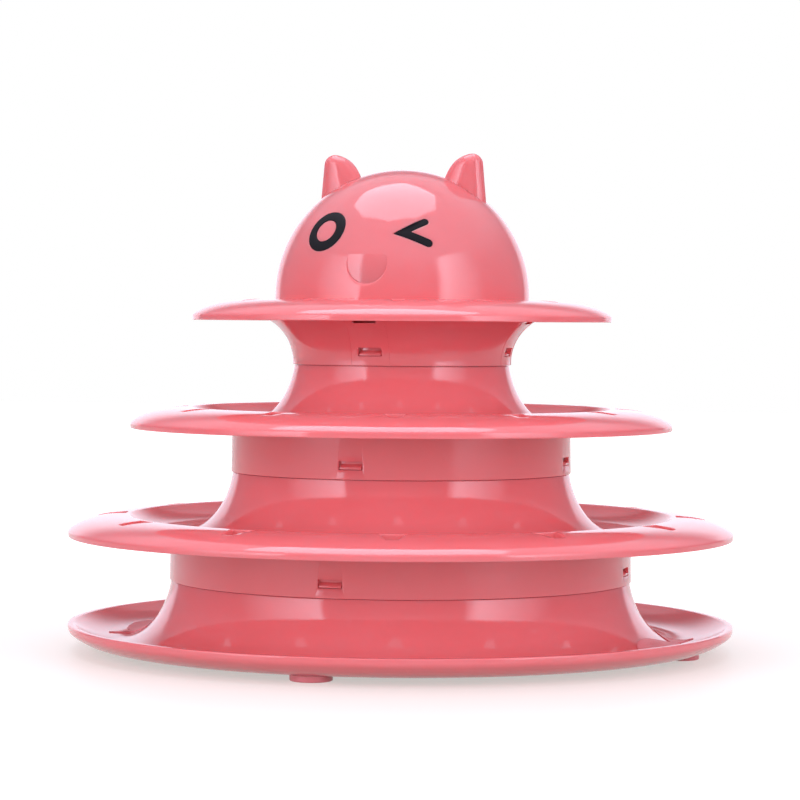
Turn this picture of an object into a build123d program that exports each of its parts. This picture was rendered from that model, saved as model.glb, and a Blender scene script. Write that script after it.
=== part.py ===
from build123d import *
import os
from math import asin, cos, degrees, hypot, radians, sin, sqrt

# A ball track tower for cats: a tray and three discs stacked on a hollow core, with a cat's head on top.
# Each disc has a collar that slips over the hub below and is held there by four snap hooks.
# Millimetres. The table is at Z = 0, the tower's axis is Z, and the cat looks along -Y.

# Tower layout
tier_pitch = 40.5  # height from one ball track to the next
tier_step = 23.0  # radius lost from one hub to the next
tray_neck_radius = 85.2  # outside of the lowest hub's neck
wall = 2.0
fit_gap = 0.25  # between a neck and the collar round it
seam_gap = 0.4  # open line under each collar
overrun = 1.0  # how far cutting shapes run past what they cut

# Ball track, measured outwards from the neck
flare_run = 20.0  # from the neck to the flat floor
flare_rise = 28.0  # height of the quarter ellipse that joins them
shoulder_width = 0.9  # from the neck to the upright foot of that ellipse
land_width = 6.0  # flat floor
crest_reach = 40.0  # from the neck to the track's outer edge
track_depth = 6.0
crest_round = 0.8

# Brim outside the track
brim_flat = 1.2
brim_width = 23.0
brim_drop = 5.8
edge_round = 0.7

# Tray lip
lip_width = 2.2
lip_band = 2.6
lip_round = 0.9
lip_under_round = 2.2

# Collar and snap hooks
collar_height = 16.3
collar_wall = 1.75
collar_draft = 0.3
clip_count = 4
window_width = 9.0
window_height = 3.1
window_sill = 3.5  # from the collar's lower edge to the window
hook_height = 2.0
hook_land = 0.8  # upright front of the hook
clip_gap = 0.15
hook_side_gap = 0.4
slit_width = 1.0
slit_side_gap = 0.8  # from a hook to the slit beside it

# Rim slots
slot_count = 12
slot_margin = 1.8  # from the crest to the slot
slot_inner_widths = (9.8, 7.8, 5.8)  # lower, middle and top tier
slot_outer_widths = (4.2, 3.4, 2.6)
slot_lengths = (10.6, 9.4, 8.2)
slot_round = 1.0

# Top collar and head seat
flare_start = 1.0  # straight foot of the top collar
flare_drop = 6.2  # from the crest down to the end of the collar's flare
flare_margin = 6.5  # from the head's outside to the end of the flare
flare_bend = 76.0  # degrees that the collar's flare turns
crest_margin = 8.2  # from the head's outside to the top disc's crest
neck_stop_height = 8.6  # from the collar's lower edge to the ledge that rests on the neck
neck_stop_width = 3.2
seat_drop = 3.9  # from the crest to the ledge that carries the head
seat_width = 4.2
head_window_height = 2.8

# Head
head_overhang = 8.8  # from the top neck to the head's outside
head_wall = 2.0
head_rise = 5.0  # from the seat up to the middle of the dome
skirt_depth = 5.6
skirt_wall = 1.8
skirt_taper = 1.8
skirt_gap = 0.3
skirt_straight = 2.0
head_hook_reach = 2.4
head_hook_height = 1.9

# Ears, in the plane across the head
ear_outer_place = 32.5  # sideways from the axis to the ear's outer foot
ear_inner_place = 16.5
ear_tip_place = 27.0
ear_height = 14.3  # from the dome under the tip to the tip
ear_tip_radius = 3.8
ear_tip_round = 3.4
ear_thickness = 12.0
ear_sink = 7.0  # how far the ear starts inside the dome

# Face
ring_azimuth = -26.3
ring_elevation = 30.1
ring_diameter = 16.6
ring_stroke = 3.75
wink_azimuth = 22.0
wink_elevation = 28.3
wink_tip = (-4.3, 0.6)  # ends of the strokes' middle lines
wink_upper_end = (4.3, 5.4)
wink_lower_end = (5.2, -3.55)
wink_upper_stroke = 2.3
wink_lower_stroke = 3.0
inlay_proud = 0.15
inlay_thickness = 0.8
inlay_gap = 0.1
smile_height = 12.2  # above the middle of the dome
smile_radius = 7.6
smile_depth = 0.9  # at its lower edge; it fades out at mid height

# Feet
foot_count = 4
foot_diameter = 15.0
foot_height = 2.2
foot_reach = 22.0  # from the lowest neck to the foot's middle
foot_round = 0.6
boss_wall_share = 0.75  # of the tray's wall that the flat boss over a foot fills
spigot_diameter = 5.0
spigot_height = 0.9
spigot_gap = 0.1

# Balls
ball_diameter = 35.0
ball_land_share = 0.35  # of the flat floor, from its inner side, where a ball stands
ball_gap = 0.3
ball_azimuth = 196.5  # round from the cat's nose by way of +X

os.makedirs("parts", exist_ok=True)


# Shared places

def neck_radius(tier):
    return tray_neck_radius - tier * tier_step


def floor_height(tier):
    return foot_height + wall + tier * tier_pitch


def crest_height(tier):
    return floor_height(tier) + track_depth


head_radius = neck_radius(2) + head_overhang


def seam_height(tier):
    """Lower edge of the collar that grips the hub of this tier."""
    return floor_height(tier + 1) - wall - collar_height


def facing_plane(angle):
    """Upright plane through the axis that faces outwards; 0 is the cat's nose and 90 is +X."""
    turn = radians(angle)
    return Plane((0, 0, 0), x_dir=(cos(turn), sin(turn), 0), z_dir=(sin(turn), -cos(turn), 0))


def radial_plane(angle):
    """Upright plane along the radius at this angle, with its X outwards and its Y up."""
    turn = radians(angle)
    return Plane((0, 0, 0), x_dir=(sin(turn), -cos(turn), 0), z_dir=(-cos(turn), -sin(turn), 0))


def clip_angles():
    return [index * 360 / clip_count for index in range(clip_count)]


def arc_radius(run, rise):
    """Radius of the arc that leaves level and climbs by rise over run."""
    return (run * run + rise * rise) / (2 * rise)


def corner(sketch, place):
    return sketch.vertices().sort_by_distance(place)[0]


# Half sections, drawn in the XZ plane

def hub_lines(neck, floor, seam, rim):
    """Neck, shoulder under the collar and flare down to the track floor; inside and outside."""
    middle = (neck + flare_run, floor + flare_rise)
    shoulder = seam - seam_gap
    turn = asin((middle[1] - shoulder) / flare_rise)
    flare_width = flare_run - shoulder_width
    flare_top = (middle[0] - flare_width * cos(turn), shoulder)
    EllipticalCenterArc(middle, flare_width, flare_rise, 180 + degrees(turn), arc_size=90 - degrees(turn))
    Polyline(flare_top, (neck, shoulder), (neck, rim), (neck - wall, rim), (neck - wall, middle[1]))
    EllipticalCenterArc(middle, flare_run + wall, flare_rise + wall, 180, arc_size=90)


def brim_lines(edge, crest):
    """Top, upright edge and underside of the brim; returns its underside's start and its edge corners."""
    start = edge + brim_flat
    run = brim_width - brim_flat
    radius = arc_radius(run, brim_drop)
    edge_top = (start + run, crest - brim_drop)
    edge_low = (start + run, crest - radius + sqrt((radius - wall) ** 2 - run**2))
    Line((edge, crest), (start, crest))
    TangentArc((start, crest), edge_top, tangent=(1, 0))
    Line(edge_top, edge_low)
    TangentArc((start, crest - wall), edge_low, tangent=(1, 0))
    return (start, crest - wall), edge_top, edge_low


def tier_section(tier, rim):
    """Section of a tier with a ball track: neck, flare, track, brim and collar."""
    neck = neck_radius(tier)
    floor = floor_height(tier)
    crest = crest_height(tier)
    under = floor - wall
    land_start = neck + flare_run
    land_end = land_start + land_width
    crest_edge = neck + crest_reach
    bank_radius = arc_radius(crest_edge - land_end, track_depth)
    bank_foot = land_end + sqrt((bank_radius + wall) ** 2 - (bank_radius - track_depth + wall) ** 2)
    collar_inside = neck_radius(tier - 1) + fit_gap
    collar_outside = collar_inside + collar_wall
    collar_low = under - collar_height
    with BuildSketch(Plane.XZ) as section:
        with BuildLine():
            hub_lines(neck, floor, seam_height(tier), rim)
            Line((land_start, floor), (land_end, floor))
            TangentArc((land_end, floor), (crest_edge, crest), tangent=(1, 0))
            brim_under, edge_top, edge_low = brim_lines(crest_edge, crest)
            Line(brim_under, (bank_foot, crest - wall))
            TangentArc((land_end, under), (bank_foot, crest - wall), tangent=(1, 0))
            Polyline(
                (land_end, under),
                (collar_outside - collar_draft, under),
                (collar_outside, collar_low),
                (collar_inside, collar_low),
                (collar_inside, under),
                (land_start, under),
            )
        make_face()
        fillet(corner(section, (crest_edge, crest)), crest_round)
        fillet([corner(section, edge_top), corner(section, edge_low)], edge_round)
    revolve(section.sketch, axis=Axis.Z)


# Features shared by the pieces

def cut_windows(radius, depth, low, height):
    """Clip windows through a collar."""
    for angle in clip_angles():
        with BuildSketch(facing_plane(angle).offset(radius - overrun)) as window:
            with Locations((0, low + height / 2)):
                Rectangle(window_width, height)
        extrude(window.sketch, amount=depth + 2 * overrun, mode=Mode.SUBTRACT)


def cut_slits(inside, thickness, low, high):
    """Slits that free the tongue behind each hook."""
    hook_width = window_width - 2 * hook_side_gap
    place = hook_width / 2 + slit_side_gap + slit_width / 2
    for angle in clip_angles():
        with BuildSketch(facing_plane(angle).offset(inside - overrun)) as slits:
            with Locations((-place, (low + high) / 2), (place, (low + high) / 2)):
                Rectangle(slit_width, high - low)
        extrude(slits.sketch, amount=thickness + 2 * overrun, mode=Mode.SUBTRACT)


def add_hooks(points):
    """Snap hooks with this profile, given outwards and upwards."""
    hook_width = window_width - 2 * hook_side_gap
    for angle in clip_angles():
        with BuildSketch(radial_plane(angle)) as hook:
            Polygon(*points)
        extrude(hook.sketch, amount=hook_width / 2, both=True)


def add_neck_clips(tier, rim):
    """Tongues and hooks on a neck, below the collar of the tier above."""
    neck = neck_radius(tier)
    seam = seam_height(tier)
    low = seam + window_sill + clip_gap
    front = neck + fit_gap + collar_wall - clip_gap
    cut_slits(neck - wall, wall, seam + clip_gap, rim + overrun)
    high = low + hook_height
    root = neck - wall / 2
    add_hooks([(root, low), (front, low), (front, low + hook_land), (neck, high), (root, high)])


def cut_rim_slots(tier, edge):
    """Tapered slots through the brim, just outside the crest."""
    crest = crest_height(tier)
    inner = edge + slot_margin
    length = slot_lengths[tier - 1]
    half_in = slot_inner_widths[tier - 1] / 2
    half_out = slot_outer_widths[tier - 1] / 2
    with BuildSketch(Plane.XY.offset(crest + overrun)) as slots:
        with PolarLocations(inner, slot_count, start_angle=180 / slot_count):
            Polygon((0, -half_in), (length, -half_out), (length, half_out), (0, half_in))
        outer_corners = slots.vertices().filter_by(lambda point: hypot(point.X, point.Y) > inner + length / 2)
        fillet(outer_corners, slot_round)
    extrude(slots.sketch, amount=-(overrun + brim_drop + wall), mode=Mode.SUBTRACT)


def ball_place(tier):
    """Middle of the ball that rolls on this tier's track."""
    turn = radians(ball_azimuth)
    reach = neck_radius(tier) + flare_run + land_width * ball_land_share
    height = floor_height(tier) + ball_gap + ball_diameter / 2
    return (reach * sin(turn), -reach * cos(turn), height)


# Base tray
tray_neck = neck_radius(0)
tray_floor = floor_height(0)
tray_under = tray_floor - wall
tray_rim = floor_height(1) - wall
tray_land_start = tray_neck + flare_run
tray_land_end = tray_land_start + land_width
lip_radius = tray_neck + crest_reach
lip_top = crest_height(0)

with BuildPart() as base_tray:
    with BuildSketch(Plane.XZ) as tray_section:
        with BuildLine():
            hub_lines(tray_neck, tray_floor, seam_height(0), tray_rim)
            Line((tray_land_start, tray_floor), (tray_land_end, tray_floor))
            TangentArc((tray_land_end, tray_floor), (lip_radius - lip_width, lip_top), tangent=(1, 0))
            Polyline(
                (lip_radius - lip_width, lip_top),
                (lip_radius, lip_top),
                (lip_radius, lip_top - lip_band),
            )
            TangentArc((tray_land_end, tray_under), (lip_radius, lip_top - lip_band), tangent=(1, 0))
            Line((tray_land_end, tray_under), (tray_land_start, tray_under))
        make_face()
        fillet(corner(tray_section, (lip_radius - lip_width, lip_top)), lip_round)
        fillet(corner(tray_section, (lip_radius, lip_top)), lip_round)
        fillet(corner(tray_section, (lip_radius, lip_top - lip_band)), lip_under_round)
    revolve(axis=Axis.Z)
    add_neck_clips(0, tray_rim)
    with BuildSketch(Plane.XY.offset(foot_height)):
        with PolarLocations(tray_neck + foot_reach, foot_count):
            Circle(foot_diameter / 2)
    extrude(amount=wall * boss_wall_share)
    with BuildSketch(Plane.XY.offset(foot_height)):
        with PolarLocations(tray_neck + foot_reach, foot_count):
            Circle(spigot_diameter / 2 + spigot_gap)
    extrude(amount=spigot_height + spigot_gap, mode=Mode.SUBTRACT)
base_tray.part.label = "base_tray"
export_step(base_tray.part, "parts/base_tray.step")

# Feet
for foot_index, foot_name in enumerate(("foot_right", "foot_back", "foot_left", "foot_front")):
    foot_turn = radians(foot_index * 360 / foot_count)
    foot_place = ((tray_neck + foot_reach) * cos(foot_turn), (tray_neck + foot_reach) * sin(foot_turn))
    with BuildPart() as foot:
        with BuildSketch():
            with Locations(foot_place):
                Circle(foot_diameter / 2)
        extrude(amount=foot_height)
        fillet(foot.edges().group_by(Axis.Z)[0], foot_round)
        with BuildSketch(Plane.XY.offset(foot_height)):
            with Locations(foot_place):
                Circle(spigot_diameter / 2)
        extrude(amount=spigot_height)
    foot.part.label = foot_name
    export_step(foot.part, f"parts/{foot_name}.step")

# Lower tier
lower_rim = floor_height(2) - wall
with BuildPart() as lower_tier:
    tier_section(1, lower_rim)
    cut_windows(neck_radius(0) + fit_gap, collar_wall, seam_height(0) + window_sill, window_height)
    cut_rim_slots(1, neck_radius(1) + crest_reach)
    add_neck_clips(1, lower_rim)
lower_tier.part.label = "lower_tier"
export_step(lower_tier.part, "parts/lower_tier.step")

# Middle tier
middle_rim = seam_height(2) + neck_stop_height
with BuildPart() as middle_tier:
    tier_section(2, middle_rim)
    cut_windows(neck_radius(1) + fit_gap, collar_wall, seam_height(1) + window_sill, window_height)
    cut_rim_slots(2, neck_radius(2) + crest_reach)
    add_neck_clips(2, middle_rim)
middle_tier.part.label = "middle_tier"
export_step(middle_tier.part, "parts/middle_tier.step")

# Top tier: a collar that flares out under the disc, with a ledge for the neck below and one for the head
top_crest = crest_height(3)
crest_edge = head_radius + crest_margin
seat_height = top_crest - seat_drop
seat_under = seat_height - wall
seat_radius = head_radius - head_wall
seat_end = seat_radius + seat_width
collar_low = seam_height(2)
collar_inside = neck_radius(2) + fit_gap
collar_outside = collar_inside + collar_wall
flare_low = collar_low + flare_start
flare_end = (head_radius + flare_margin, top_crest - flare_drop)
flare_width = (flare_end[0] - collar_outside) / (1 - cos(radians(flare_bend)))
flare_height = (flare_end[1] - flare_low) / sin(radians(flare_bend))
flare_axis = collar_outside + flare_width
stop_low = middle_rim
stop_high = stop_low + wall
stop_radius = collar_inside - neck_stop_width
window_low = collar_low + window_sill
head_window_low = seat_under - head_window_height


def flare_turn_at(height, thickness):
    """How far the collar's flare has turned at this height, this deep under its outer face."""
    return asin((height - flare_low) / (flare_height + thickness))


def flare_radius_at(height, thickness):
    """How far from the axis the flare stands there."""
    return flare_axis - (flare_width + thickness) * cos(flare_turn_at(height, thickness))


stop_turn = degrees(flare_turn_at(stop_high, collar_wall))
seat_turn = degrees(flare_turn_at(seat_under, collar_wall))
stop_start = (flare_radius_at(stop_high, collar_wall), stop_high)
seat_start = (flare_radius_at(seat_under, collar_wall), seat_under)

with BuildPart() as top_tier:
    with BuildSketch(Plane.XZ) as top_section:
        with BuildLine():
            Polyline(
                stop_start,
                (stop_radius, stop_high),
                (stop_radius, stop_low),
                (collar_inside, stop_low),
                (collar_inside, collar_low),
                (collar_outside, collar_low),
                (collar_outside, flare_low),
            )
            EllipticalCenterArc(
                (flare_axis, flare_low), flare_width, flare_height, 180, arc_size=-flare_bend
            )
            brim_under, brim_edge_top, brim_edge_low = brim_lines(crest_edge, top_crest)
            Polyline(flare_end, (crest_edge + crest_round, top_crest - wall), brim_under)
            TangentArc((seat_end, seat_height), (crest_edge, top_crest), tangent=(1, 0))
            Polyline(
                (seat_end, seat_height),
                (seat_radius, seat_height),
                (seat_radius, seat_under),
                seat_start,
            )
            EllipticalCenterArc(
                (flare_axis, flare_low),
                flare_width + collar_wall,
                flare_height + collar_wall,
                180 - seat_turn,
                arc_size=seat_turn - stop_turn,
            )
        make_face()
        fillet(corner(top_section, (crest_edge, top_crest)), crest_round)
        fillet([corner(top_section, brim_edge_top), corner(top_section, brim_edge_low)], edge_round)
    revolve(axis=Axis.Z)
    window_reach = flare_radius_at(window_low + window_height, 0)
    cut_windows(collar_inside, window_reach - collar_inside, window_low, window_height)
    head_window_start = flare_radius_at(head_window_low, collar_wall)
    cut_windows(head_window_start, flare_end[0] - head_window_start, head_window_low, head_window_height)
    cut_rim_slots(3, crest_edge)
top_tier.part.label = "top_tier"
export_step(top_tier.part, "parts/top_tier.step")

# Ears: a rounded cone over an oval, and the smaller one that hollows it
head_middle = seat_height + head_rise
dome_inside = head_radius - head_wall
ear_tip_height = sqrt(head_radius**2 - ear_tip_place**2) + ear_height
ear_outer_foot = sqrt(head_radius**2 - ear_outer_place**2)
ear_inner_foot = sqrt(head_radius**2 - ear_inner_place**2)
ear_low = ear_outer_foot - ear_sink


def ear_sections(inset):
    """Oval at the ear's root and circle at its tip, drawn this far inside the ear's surface."""
    fall = ear_tip_height - ear_low
    outer_lean = (ear_outer_place - ear_tip_place - ear_tip_radius) / (ear_tip_height - ear_outer_foot)
    inner_lean = (ear_tip_place - ear_tip_radius - ear_inner_place) / (ear_tip_height - ear_inner_foot)
    outer = ear_tip_place + ear_tip_radius + outer_lean * fall
    inner = ear_tip_place - ear_tip_radius - inner_lean * fall
    with BuildSketch(Plane.XY.offset(head_middle + ear_low)) as root:
        with Locations(((outer + inner) / 2, 0)):
            Ellipse((outer - inner) / 2 - inset, ear_thickness / 2 - inset)
    with BuildSketch(Plane.XY.offset(head_middle + ear_tip_height - inset)) as tip:
        with Locations((ear_tip_place, 0)):
            Circle(ear_tip_radius - inset)
    return [root.sketch.face(), tip.sketch.face()]


with BuildPart() as ear:
    loft(ear_sections(0))
    fillet(ear.edges().group_by(Axis.Z)[-1], ear_tip_round)
    mirror(about=Plane.YZ)

with BuildPart() as ear_core:
    loft(ear_sections(head_wall))
    mirror(about=Plane.YZ)


# Face: two inlays that follow the dome, and the pockets cut for them

def face_plane(azimuth, elevation):
    """Plane square to the dome at this place, with its origin in the dome's middle."""
    turn = radians(azimuth)
    level = cos(radians(elevation))
    outward = (sin(turn) * level, -cos(turn) * level, sin(radians(elevation)))
    return Plane((0, 0, head_middle), x_dir=(cos(turn), sin(turn), 0), z_dir=outward)


def ring_outline(margin):
    Circle(ring_diameter / 2 + margin)
    Circle(ring_diameter / 2 - ring_stroke - margin, mode=Mode.SUBTRACT)


def wink_outline(margin):
    """Two round-ended strokes from one tip, with their outer sides run on to a point."""
    tip = Vector(*wink_tip)
    upper = (Vector(*wink_upper_end) - tip).normalized()
    lower = (Vector(*wink_lower_end) - tip).normalized()
    upper_half = wink_upper_stroke / 2 + margin
    lower_half = wink_lower_stroke / 2 + margin
    upper_side = Vector(-upper.Y, upper.X) * upper_half
    lower_side = Vector(lower.Y, -lower.X) * lower_half
    spread = lower.X * upper.Y - lower.Y * upper.X
    point = -(lower * upper_half + upper * lower_half) / spread
    SlotCenterPoint((tip + Vector(*wink_upper_end)) / 2, wink_upper_end, 2 * upper_half)
    SlotCenterPoint((tip + Vector(*wink_lower_end)) / 2, wink_lower_end, 2 * lower_half)
    Polygon(tip, tip + upper_side, tip + point, tip + lower_side, align=None)


def dome_band(outer, inner):
    """Keep only what lies between two spheres round the dome's middle."""
    with Locations((0, 0, head_middle)):
        Sphere(outer, mode=Mode.INTERSECT)
        Sphere(inner, mode=Mode.SUBTRACT)


inlay_outside = head_radius + inlay_proud
inlay_inside = inlay_outside - inlay_thickness
ring_plane = face_plane(ring_azimuth, ring_elevation)
wink_plane = face_plane(wink_azimuth, wink_elevation)

with BuildPart() as eye_ring:
    with BuildSketch(ring_plane):
        ring_outline(0)
    extrude(amount=inlay_outside)
    dome_band(inlay_outside, inlay_inside)
eye_ring.part.label = "eye_ring"
export_step(eye_ring.part, "parts/eye_ring.step")

with BuildPart() as eye_wink:
    with BuildSketch(wink_plane):
        wink_outline(0)
    extrude(amount=inlay_outside)
    dome_band(inlay_outside, inlay_inside)
eye_wink.part.label = "eye_wink"
export_step(eye_wink.part, "parts/eye_wink.step")

with BuildPart() as face_cuts:
    with BuildSketch(ring_plane):
        ring_outline(inlay_gap)
    extrude(amount=inlay_outside + overrun)
    with BuildSketch(wink_plane):
        wink_outline(inlay_gap)
    extrude(amount=inlay_outside + overrun)
    dome_band(inlay_outside + overrun, inlay_inside - inlay_gap)

# Smile: a round cut whose floor is the dome itself, tipped inwards below the smile's middle
smile_middle = asin(smile_height / head_radius)
smile_low = asin((smile_height - smile_radius) / head_radius)
smile_tip = smile_depth / sin(smile_middle - smile_low)

with BuildPart() as smile_cut:
    with BuildSketch(Plane.XZ):
        with Locations((0, head_middle + smile_height)):
            Circle(smile_radius)
    extrude(amount=head_radius + overrun)
    with Locations((0, smile_tip * sin(smile_middle), head_middle + smile_tip * cos(smile_middle))):
        Sphere(head_radius, mode=Mode.SUBTRACT)

# Head shell: dome, ears, face cuts and the skirt that clips into the top tier
skirt_outside = seat_radius - skirt_gap
skirt_inside = skirt_outside - skirt_wall
skirt_turn = seat_height - skirt_straight
skirt_low = seat_height - skirt_depth
head_hook_high = seat_under - clip_gap
head_hook_front = skirt_outside + head_hook_reach
head_hook_root = skirt_inside + skirt_wall / 2

with BuildPart() as head_shell:
    with BuildSketch(Plane.XZ):
        with BuildLine():
            Line((head_radius, seat_height), (head_radius, head_middle))
            CenterArc((0, head_middle), head_radius, 0, arc_size=90)
            Line((0, head_middle + head_radius), (0, head_middle + dome_inside))
            CenterArc((0, head_middle), dome_inside, 0, arc_size=90)
            Polyline(
                (dome_inside, head_middle),
                (skirt_inside, head_middle - dome_inside + skirt_inside),
                (skirt_inside, skirt_turn),
                (skirt_inside - skirt_taper, skirt_low),
                (skirt_outside - skirt_taper, skirt_low),
                (skirt_outside, skirt_turn),
                (skirt_outside, seat_height),
                (head_radius, seat_height),
            )
        make_face()
    revolve(axis=Axis.Z)
    add(ear.part)
    with Locations((0, 0, head_middle)):
        Sphere(dome_inside, arc_size1=0, mode=Mode.SUBTRACT)
    add(ear_core.part, mode=Mode.SUBTRACT)
    add(face_cuts.part, mode=Mode.SUBTRACT)
    add(smile_cut.part, mode=Mode.SUBTRACT)
    tongue_inside = skirt_inside - skirt_taper
    cut_slits(tongue_inside, skirt_wall + skirt_taper, skirt_low - overrun, seat_height - skirt_gap)
    add_hooks(
        [
            (head_hook_root, head_hook_high),
            (head_hook_front, head_hook_high),
            (head_hook_front, head_hook_high - hook_land),
            (skirt_outside - skirt_taper / 2, head_hook_high - head_hook_height),
            (head_hook_root - skirt_taper / 2, head_hook_high - head_hook_height),
        ]
    )
head_shell.part.label = "head_shell"
export_step(head_shell.part, "parts/head_shell.step")

# Balls
for ball_tier, ball_name in enumerate(("ball_lower", "ball_middle", "ball_upper")):
    with BuildPart() as ball:
        with Locations(ball_place(ball_tier)):
            Sphere(ball_diameter / 2)
    ball.part.label = ball_name
    export_step(ball.part, f"parts/{ball_name}.step")
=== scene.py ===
from math import asin, ceil, cos, degrees, pi, radians, sin, sqrt, tan

import bmesh
import bpy
from mathutils import Matrix, Vector


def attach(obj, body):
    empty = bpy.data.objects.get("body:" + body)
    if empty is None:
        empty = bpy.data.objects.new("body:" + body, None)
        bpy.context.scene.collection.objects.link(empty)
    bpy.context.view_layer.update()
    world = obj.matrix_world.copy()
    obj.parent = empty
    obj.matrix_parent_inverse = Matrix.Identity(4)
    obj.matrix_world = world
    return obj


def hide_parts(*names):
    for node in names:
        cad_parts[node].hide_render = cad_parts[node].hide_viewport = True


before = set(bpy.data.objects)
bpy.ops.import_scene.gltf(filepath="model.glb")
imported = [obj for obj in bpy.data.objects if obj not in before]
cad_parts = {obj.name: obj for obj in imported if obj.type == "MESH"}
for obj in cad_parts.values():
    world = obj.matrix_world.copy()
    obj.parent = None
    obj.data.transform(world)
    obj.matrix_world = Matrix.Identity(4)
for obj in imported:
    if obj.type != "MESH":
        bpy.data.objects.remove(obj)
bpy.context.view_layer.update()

# A ball track tower for cats in glossy pink plastic: a tray, three discs on a hollow core and a cat's head.
# Every moulded piece is turned or lofted at a fine step in the CAD model's frame. Lengths are in metres.

MM = 0.001

# Tower layout
tier_pitch = 40.5 * MM
tier_step = 23 * MM
tray_neck = 85.2 * MM
wall = 2 * MM
fit_gap = 0.25 * MM
seam_gap = 0.16 * MM
overrun = 1 * MM

# Ball track, outwards from the neck
flare_run = 20 * MM
flare_rise = 28 * MM
land_width = 6 * MM
crest_reach = 40 * MM
track_depth = 6 * MM
shoulder_width = 0.9 * MM
crest_round = 0.8 * MM

# Brim and tray lip
brim_flat = 1.2 * MM
brim_width = 23 * MM
brim_drop = 5.8 * MM
brim_slope = 45.0
edge_round = 0.6 * MM
lip_width = 2.2 * MM
lip_band = 2.6 * MM
lip_round = 0.6 * MM
lip_under_round = 1.1 * MM

# Collars, hooks and windows
collar_height = 16.3 * MM
collar_wall = 1.75 * MM
collar_draft = 0.3 * MM
clip_count = 4
window_width = 9 * MM
window_height = 3.1 * MM
window_sill = 3.5 * MM
window_round = 0.35 * MM
hook_height = 2 * MM
hook_land = 0.8 * MM
hook_round = 0.18 * MM
clip_gap = 0.15 * MM
hook_side_gap = 0.4 * MM
slit_width = 1 * MM
slit_side_gap = 0.8 * MM
seam_round = 0.25 * MM

# Rim slots
slot_count = 12
slot_margin = 1.8 * MM
slot_inner_widths = (9.8 * MM, 7.8 * MM, 5.8 * MM)
slot_outer_widths = (4.2 * MM, 3.4 * MM, 2.6 * MM)
slot_lengths = (10.6 * MM, 9.4 * MM, 8.2 * MM)
slot_round = 1 * MM
cut_round = 0.3 * MM

# Top collar and head seat
flare_start = 1 * MM
flare_drop = 6.2 * MM
flare_margin = 6.5 * MM
flare_bend = 76.0
crest_margin = 8.2 * MM
neck_stop_height = 8.6 * MM
neck_stop_width = 3.2 * MM
seat_drop = 3.9 * MM
seat_width = 4.2 * MM
head_window_height = 2.8 * MM
ridge_place = 7.3 * MM
ridge_half = 0.25 * MM
ridge_height = 0.16 * MM
ridge_sink = 2  # heights that the ridge's root lies under the face
ridge_narrowing = 3  # times as wide at its root as at its top

# Head
head_radius = 48 * MM
head_wall = 2 * MM
head_rise = 5 * MM
skirt_depth = 5.6 * MM
skirt_wall = 1.8 * MM
skirt_taper = 1.8 * MM
skirt_gap = 0.3 * MM
skirt_straight = 2 * MM
head_hook_reach = 4.6 * MM
head_hook_height = 1.9 * MM

# Ears
ear_outer_place = 32.5 * MM
ear_inner_place = 16.5 * MM
ear_tip_place = 27 * MM
ear_height = 14.3 * MM
ear_tip_radius = 3.8 * MM
ear_tip_round = 3.7 * MM
ear_bulge = 0.9 * MM
ear_thickness = 12 * MM
ear_sink = 7 * MM

# Face
ring_azimuth = -26.3
ring_elevation = 30.1
ring_diameter = 16.6 * MM
ring_stroke = 3.75 * MM
wink_azimuth = 22.0
wink_elevation = 28.3
wink_tip = Vector((-4.3, 0.6)) * MM
wink_upper_end = Vector((4.3, 5.4)) * MM
wink_lower_end = Vector((5.2, -3.55)) * MM
wink_upper_stroke = 2.6 * MM
wink_lower_stroke = 3 * MM
inlay_proud = 0.15 * MM
inlay_thickness = 0.8 * MM
inlay_gap = 0.1 * MM
inlay_round = 0.25 * MM
wink_round = 0.5 * MM
smile_height = 12.2 * MM
smile_radius = 7.6 * MM
smile_depth = 1 * MM
smile_round = 0.5 * MM
smile_lip_share = 0.85  # of the smile's depth that its rounded edge takes up
pocket_round = 0.2 * MM

# Relief on the tray's track
fish_azimuths = (-90, 90)
fish_reach = 103.5 * MM
fish_length = 52 * MM
fish_width = 15 * MM
fish_height = 0.35 * MM
fish_body_share = 0.76
fish_taper = 0.25
fish_fork_share = 2 / 3  # of the tail's length from its root to the fork
plaque_edge = ((1, -1), (1, 0.5), (0.97, 0.9))  # shares of the outline and of the height

# Feet and balls
foot_height = 2.2 * MM
foot_radius = 7.5 * MM
foot_reach = 22 * MM
foot_round = 0.6 * MM
boss_wall_share = 0.75
spigot_radius = 2.5 * MM
spigot_height = 0.9 * MM
ball_radius = 17.5 * MM
ball_gap = 0.3 * MM
ball_land_share = 0.35
ball_azimuth = 196.5
ball_seam = 0.3 * MM

# Finishes: two colours that the plastic drifts between, its roughness from and to, and its orange peel
finishes = {
    "pink_plastic": ((0.92, 0.192, 0.207), (0.935, 0.207, 0.227), (0.06, 0.1), 0.04),
    "matte_pink": ((0.88, 0.26, 0.3), (0.9, 0.3, 0.34), (0.4, 0.55), 0.3),
    "black_inlay": ((0.004, 0.0035, 0.006), (0.007, 0.006, 0.009), (0.45, 0.6), 0.3),
    # Feet: paler than the tray, partly the pads' own pink and partly painted light that lifts the feet out
    # of the tray's shade
    "pink_pad_painted_light": ((0.88, 0.24, 0.27), (0.84, 0.22, 0.25), (0.25, 0.35), 0.2),
    "ball_plastic": ((0.82, 0.79, 0.74), (0.86, 0.84, 0.8), (0.14, 0.2), 0.06),
}
pink_index = 1.5
pink_scatter = 0.6
pink_scatter_radius = (1.0, 0.25, 0.25)
pink_scatter_depth = 6 * MM
black_specular = 0.15
colour_noise = (22, 3)  # features per metre and detail
gloss_noise = (60, 4)
peel_noise = (700, 2)
noise_range = (0.3, 0.7)
peel_depth = 0.1 * MM

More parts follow.
